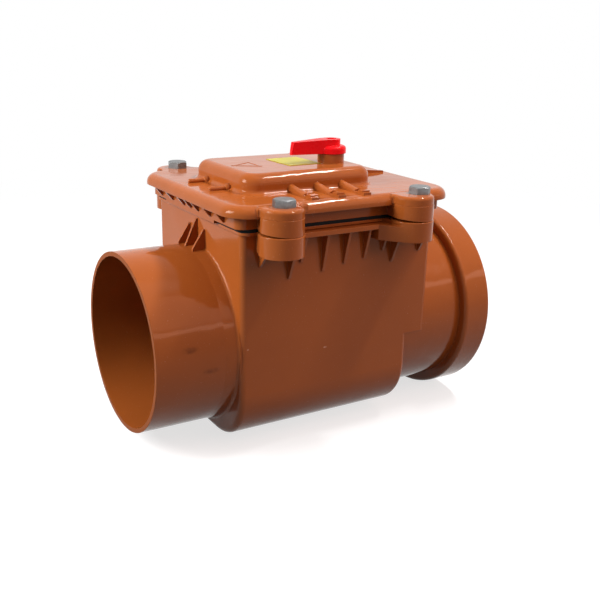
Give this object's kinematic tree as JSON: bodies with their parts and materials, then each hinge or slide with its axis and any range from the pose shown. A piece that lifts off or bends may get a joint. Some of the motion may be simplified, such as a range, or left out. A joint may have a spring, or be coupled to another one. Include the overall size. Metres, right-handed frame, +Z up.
{
  "type": "backwater valve",
  "caption": "Moulded plastic backwater valve for a buried drain pipe, with a spigot outlet, a socket inlet, a bolted lid, a hanging flap and a quarter-turn lock handle.",
  "frame": {"origin": "centre of the outlet spigot's mouth, on the pipe axis", "axes": "+X along the pipe axis from the outlet to the inlet, +Z up through the lid, +Y completes the right hand"},
  "size_m": [0.345, 0.246, 0.2623],
  "materials": {
    "orange_pvc": "moulded, semi-gloss",
    "black_rubber": "matt",
    "zinc_steel": "zinc plated",
    "stainless": "satin",
    "grey_plastic": "moulded",
    "red_plastic": "glossy",
    "yellow_film": "printed film, bare"
  },
  "bodies": {
    "housing": {"housing_body": "orange_pvc", "inlet_seal_ring": "black_rubber", "lid": "orange_pvc", "lid_gasket": "black_rubber", "lid_bolts": "zinc_steel", "lid_nuts": "zinc_steel", "hinge_pin": "stainless", "hinge_pin_clips": "stainless", "label_plate": "yellow_film"},
    "flap": {"flap_plate": "grey_plastic", "flap_seal": "black_rubber", "seal_retainer": "stainless", "retainer_screws": "stainless"},
    "lock": {"handle": "red_plastic", "handle_screw": "stainless", "handle_shaft": "stainless", "shaft_seals": "black_rubber", "shaft_washer": "stainless", "shaft_clip": "stainless", "locking_arm": "grey_plastic", "arm_cross_pin": "stainless"}
  },
  "joints": [
    {"name": "flap_swing", "type": "hinge", "parent": "housing", "child": "flap", "pos_m": [0.24686, 0, 0.09194], "axis": [0, -1, 0], "range_deg": [-60, 0]},
    {"name": "handle_turn", "type": "hinge", "parent": "housing", "child": "lock", "pos_m": [0.202, -0.016, 0.165], "axis": [0, 0, 1], "range_deg": [0, 90]}
  ]
}
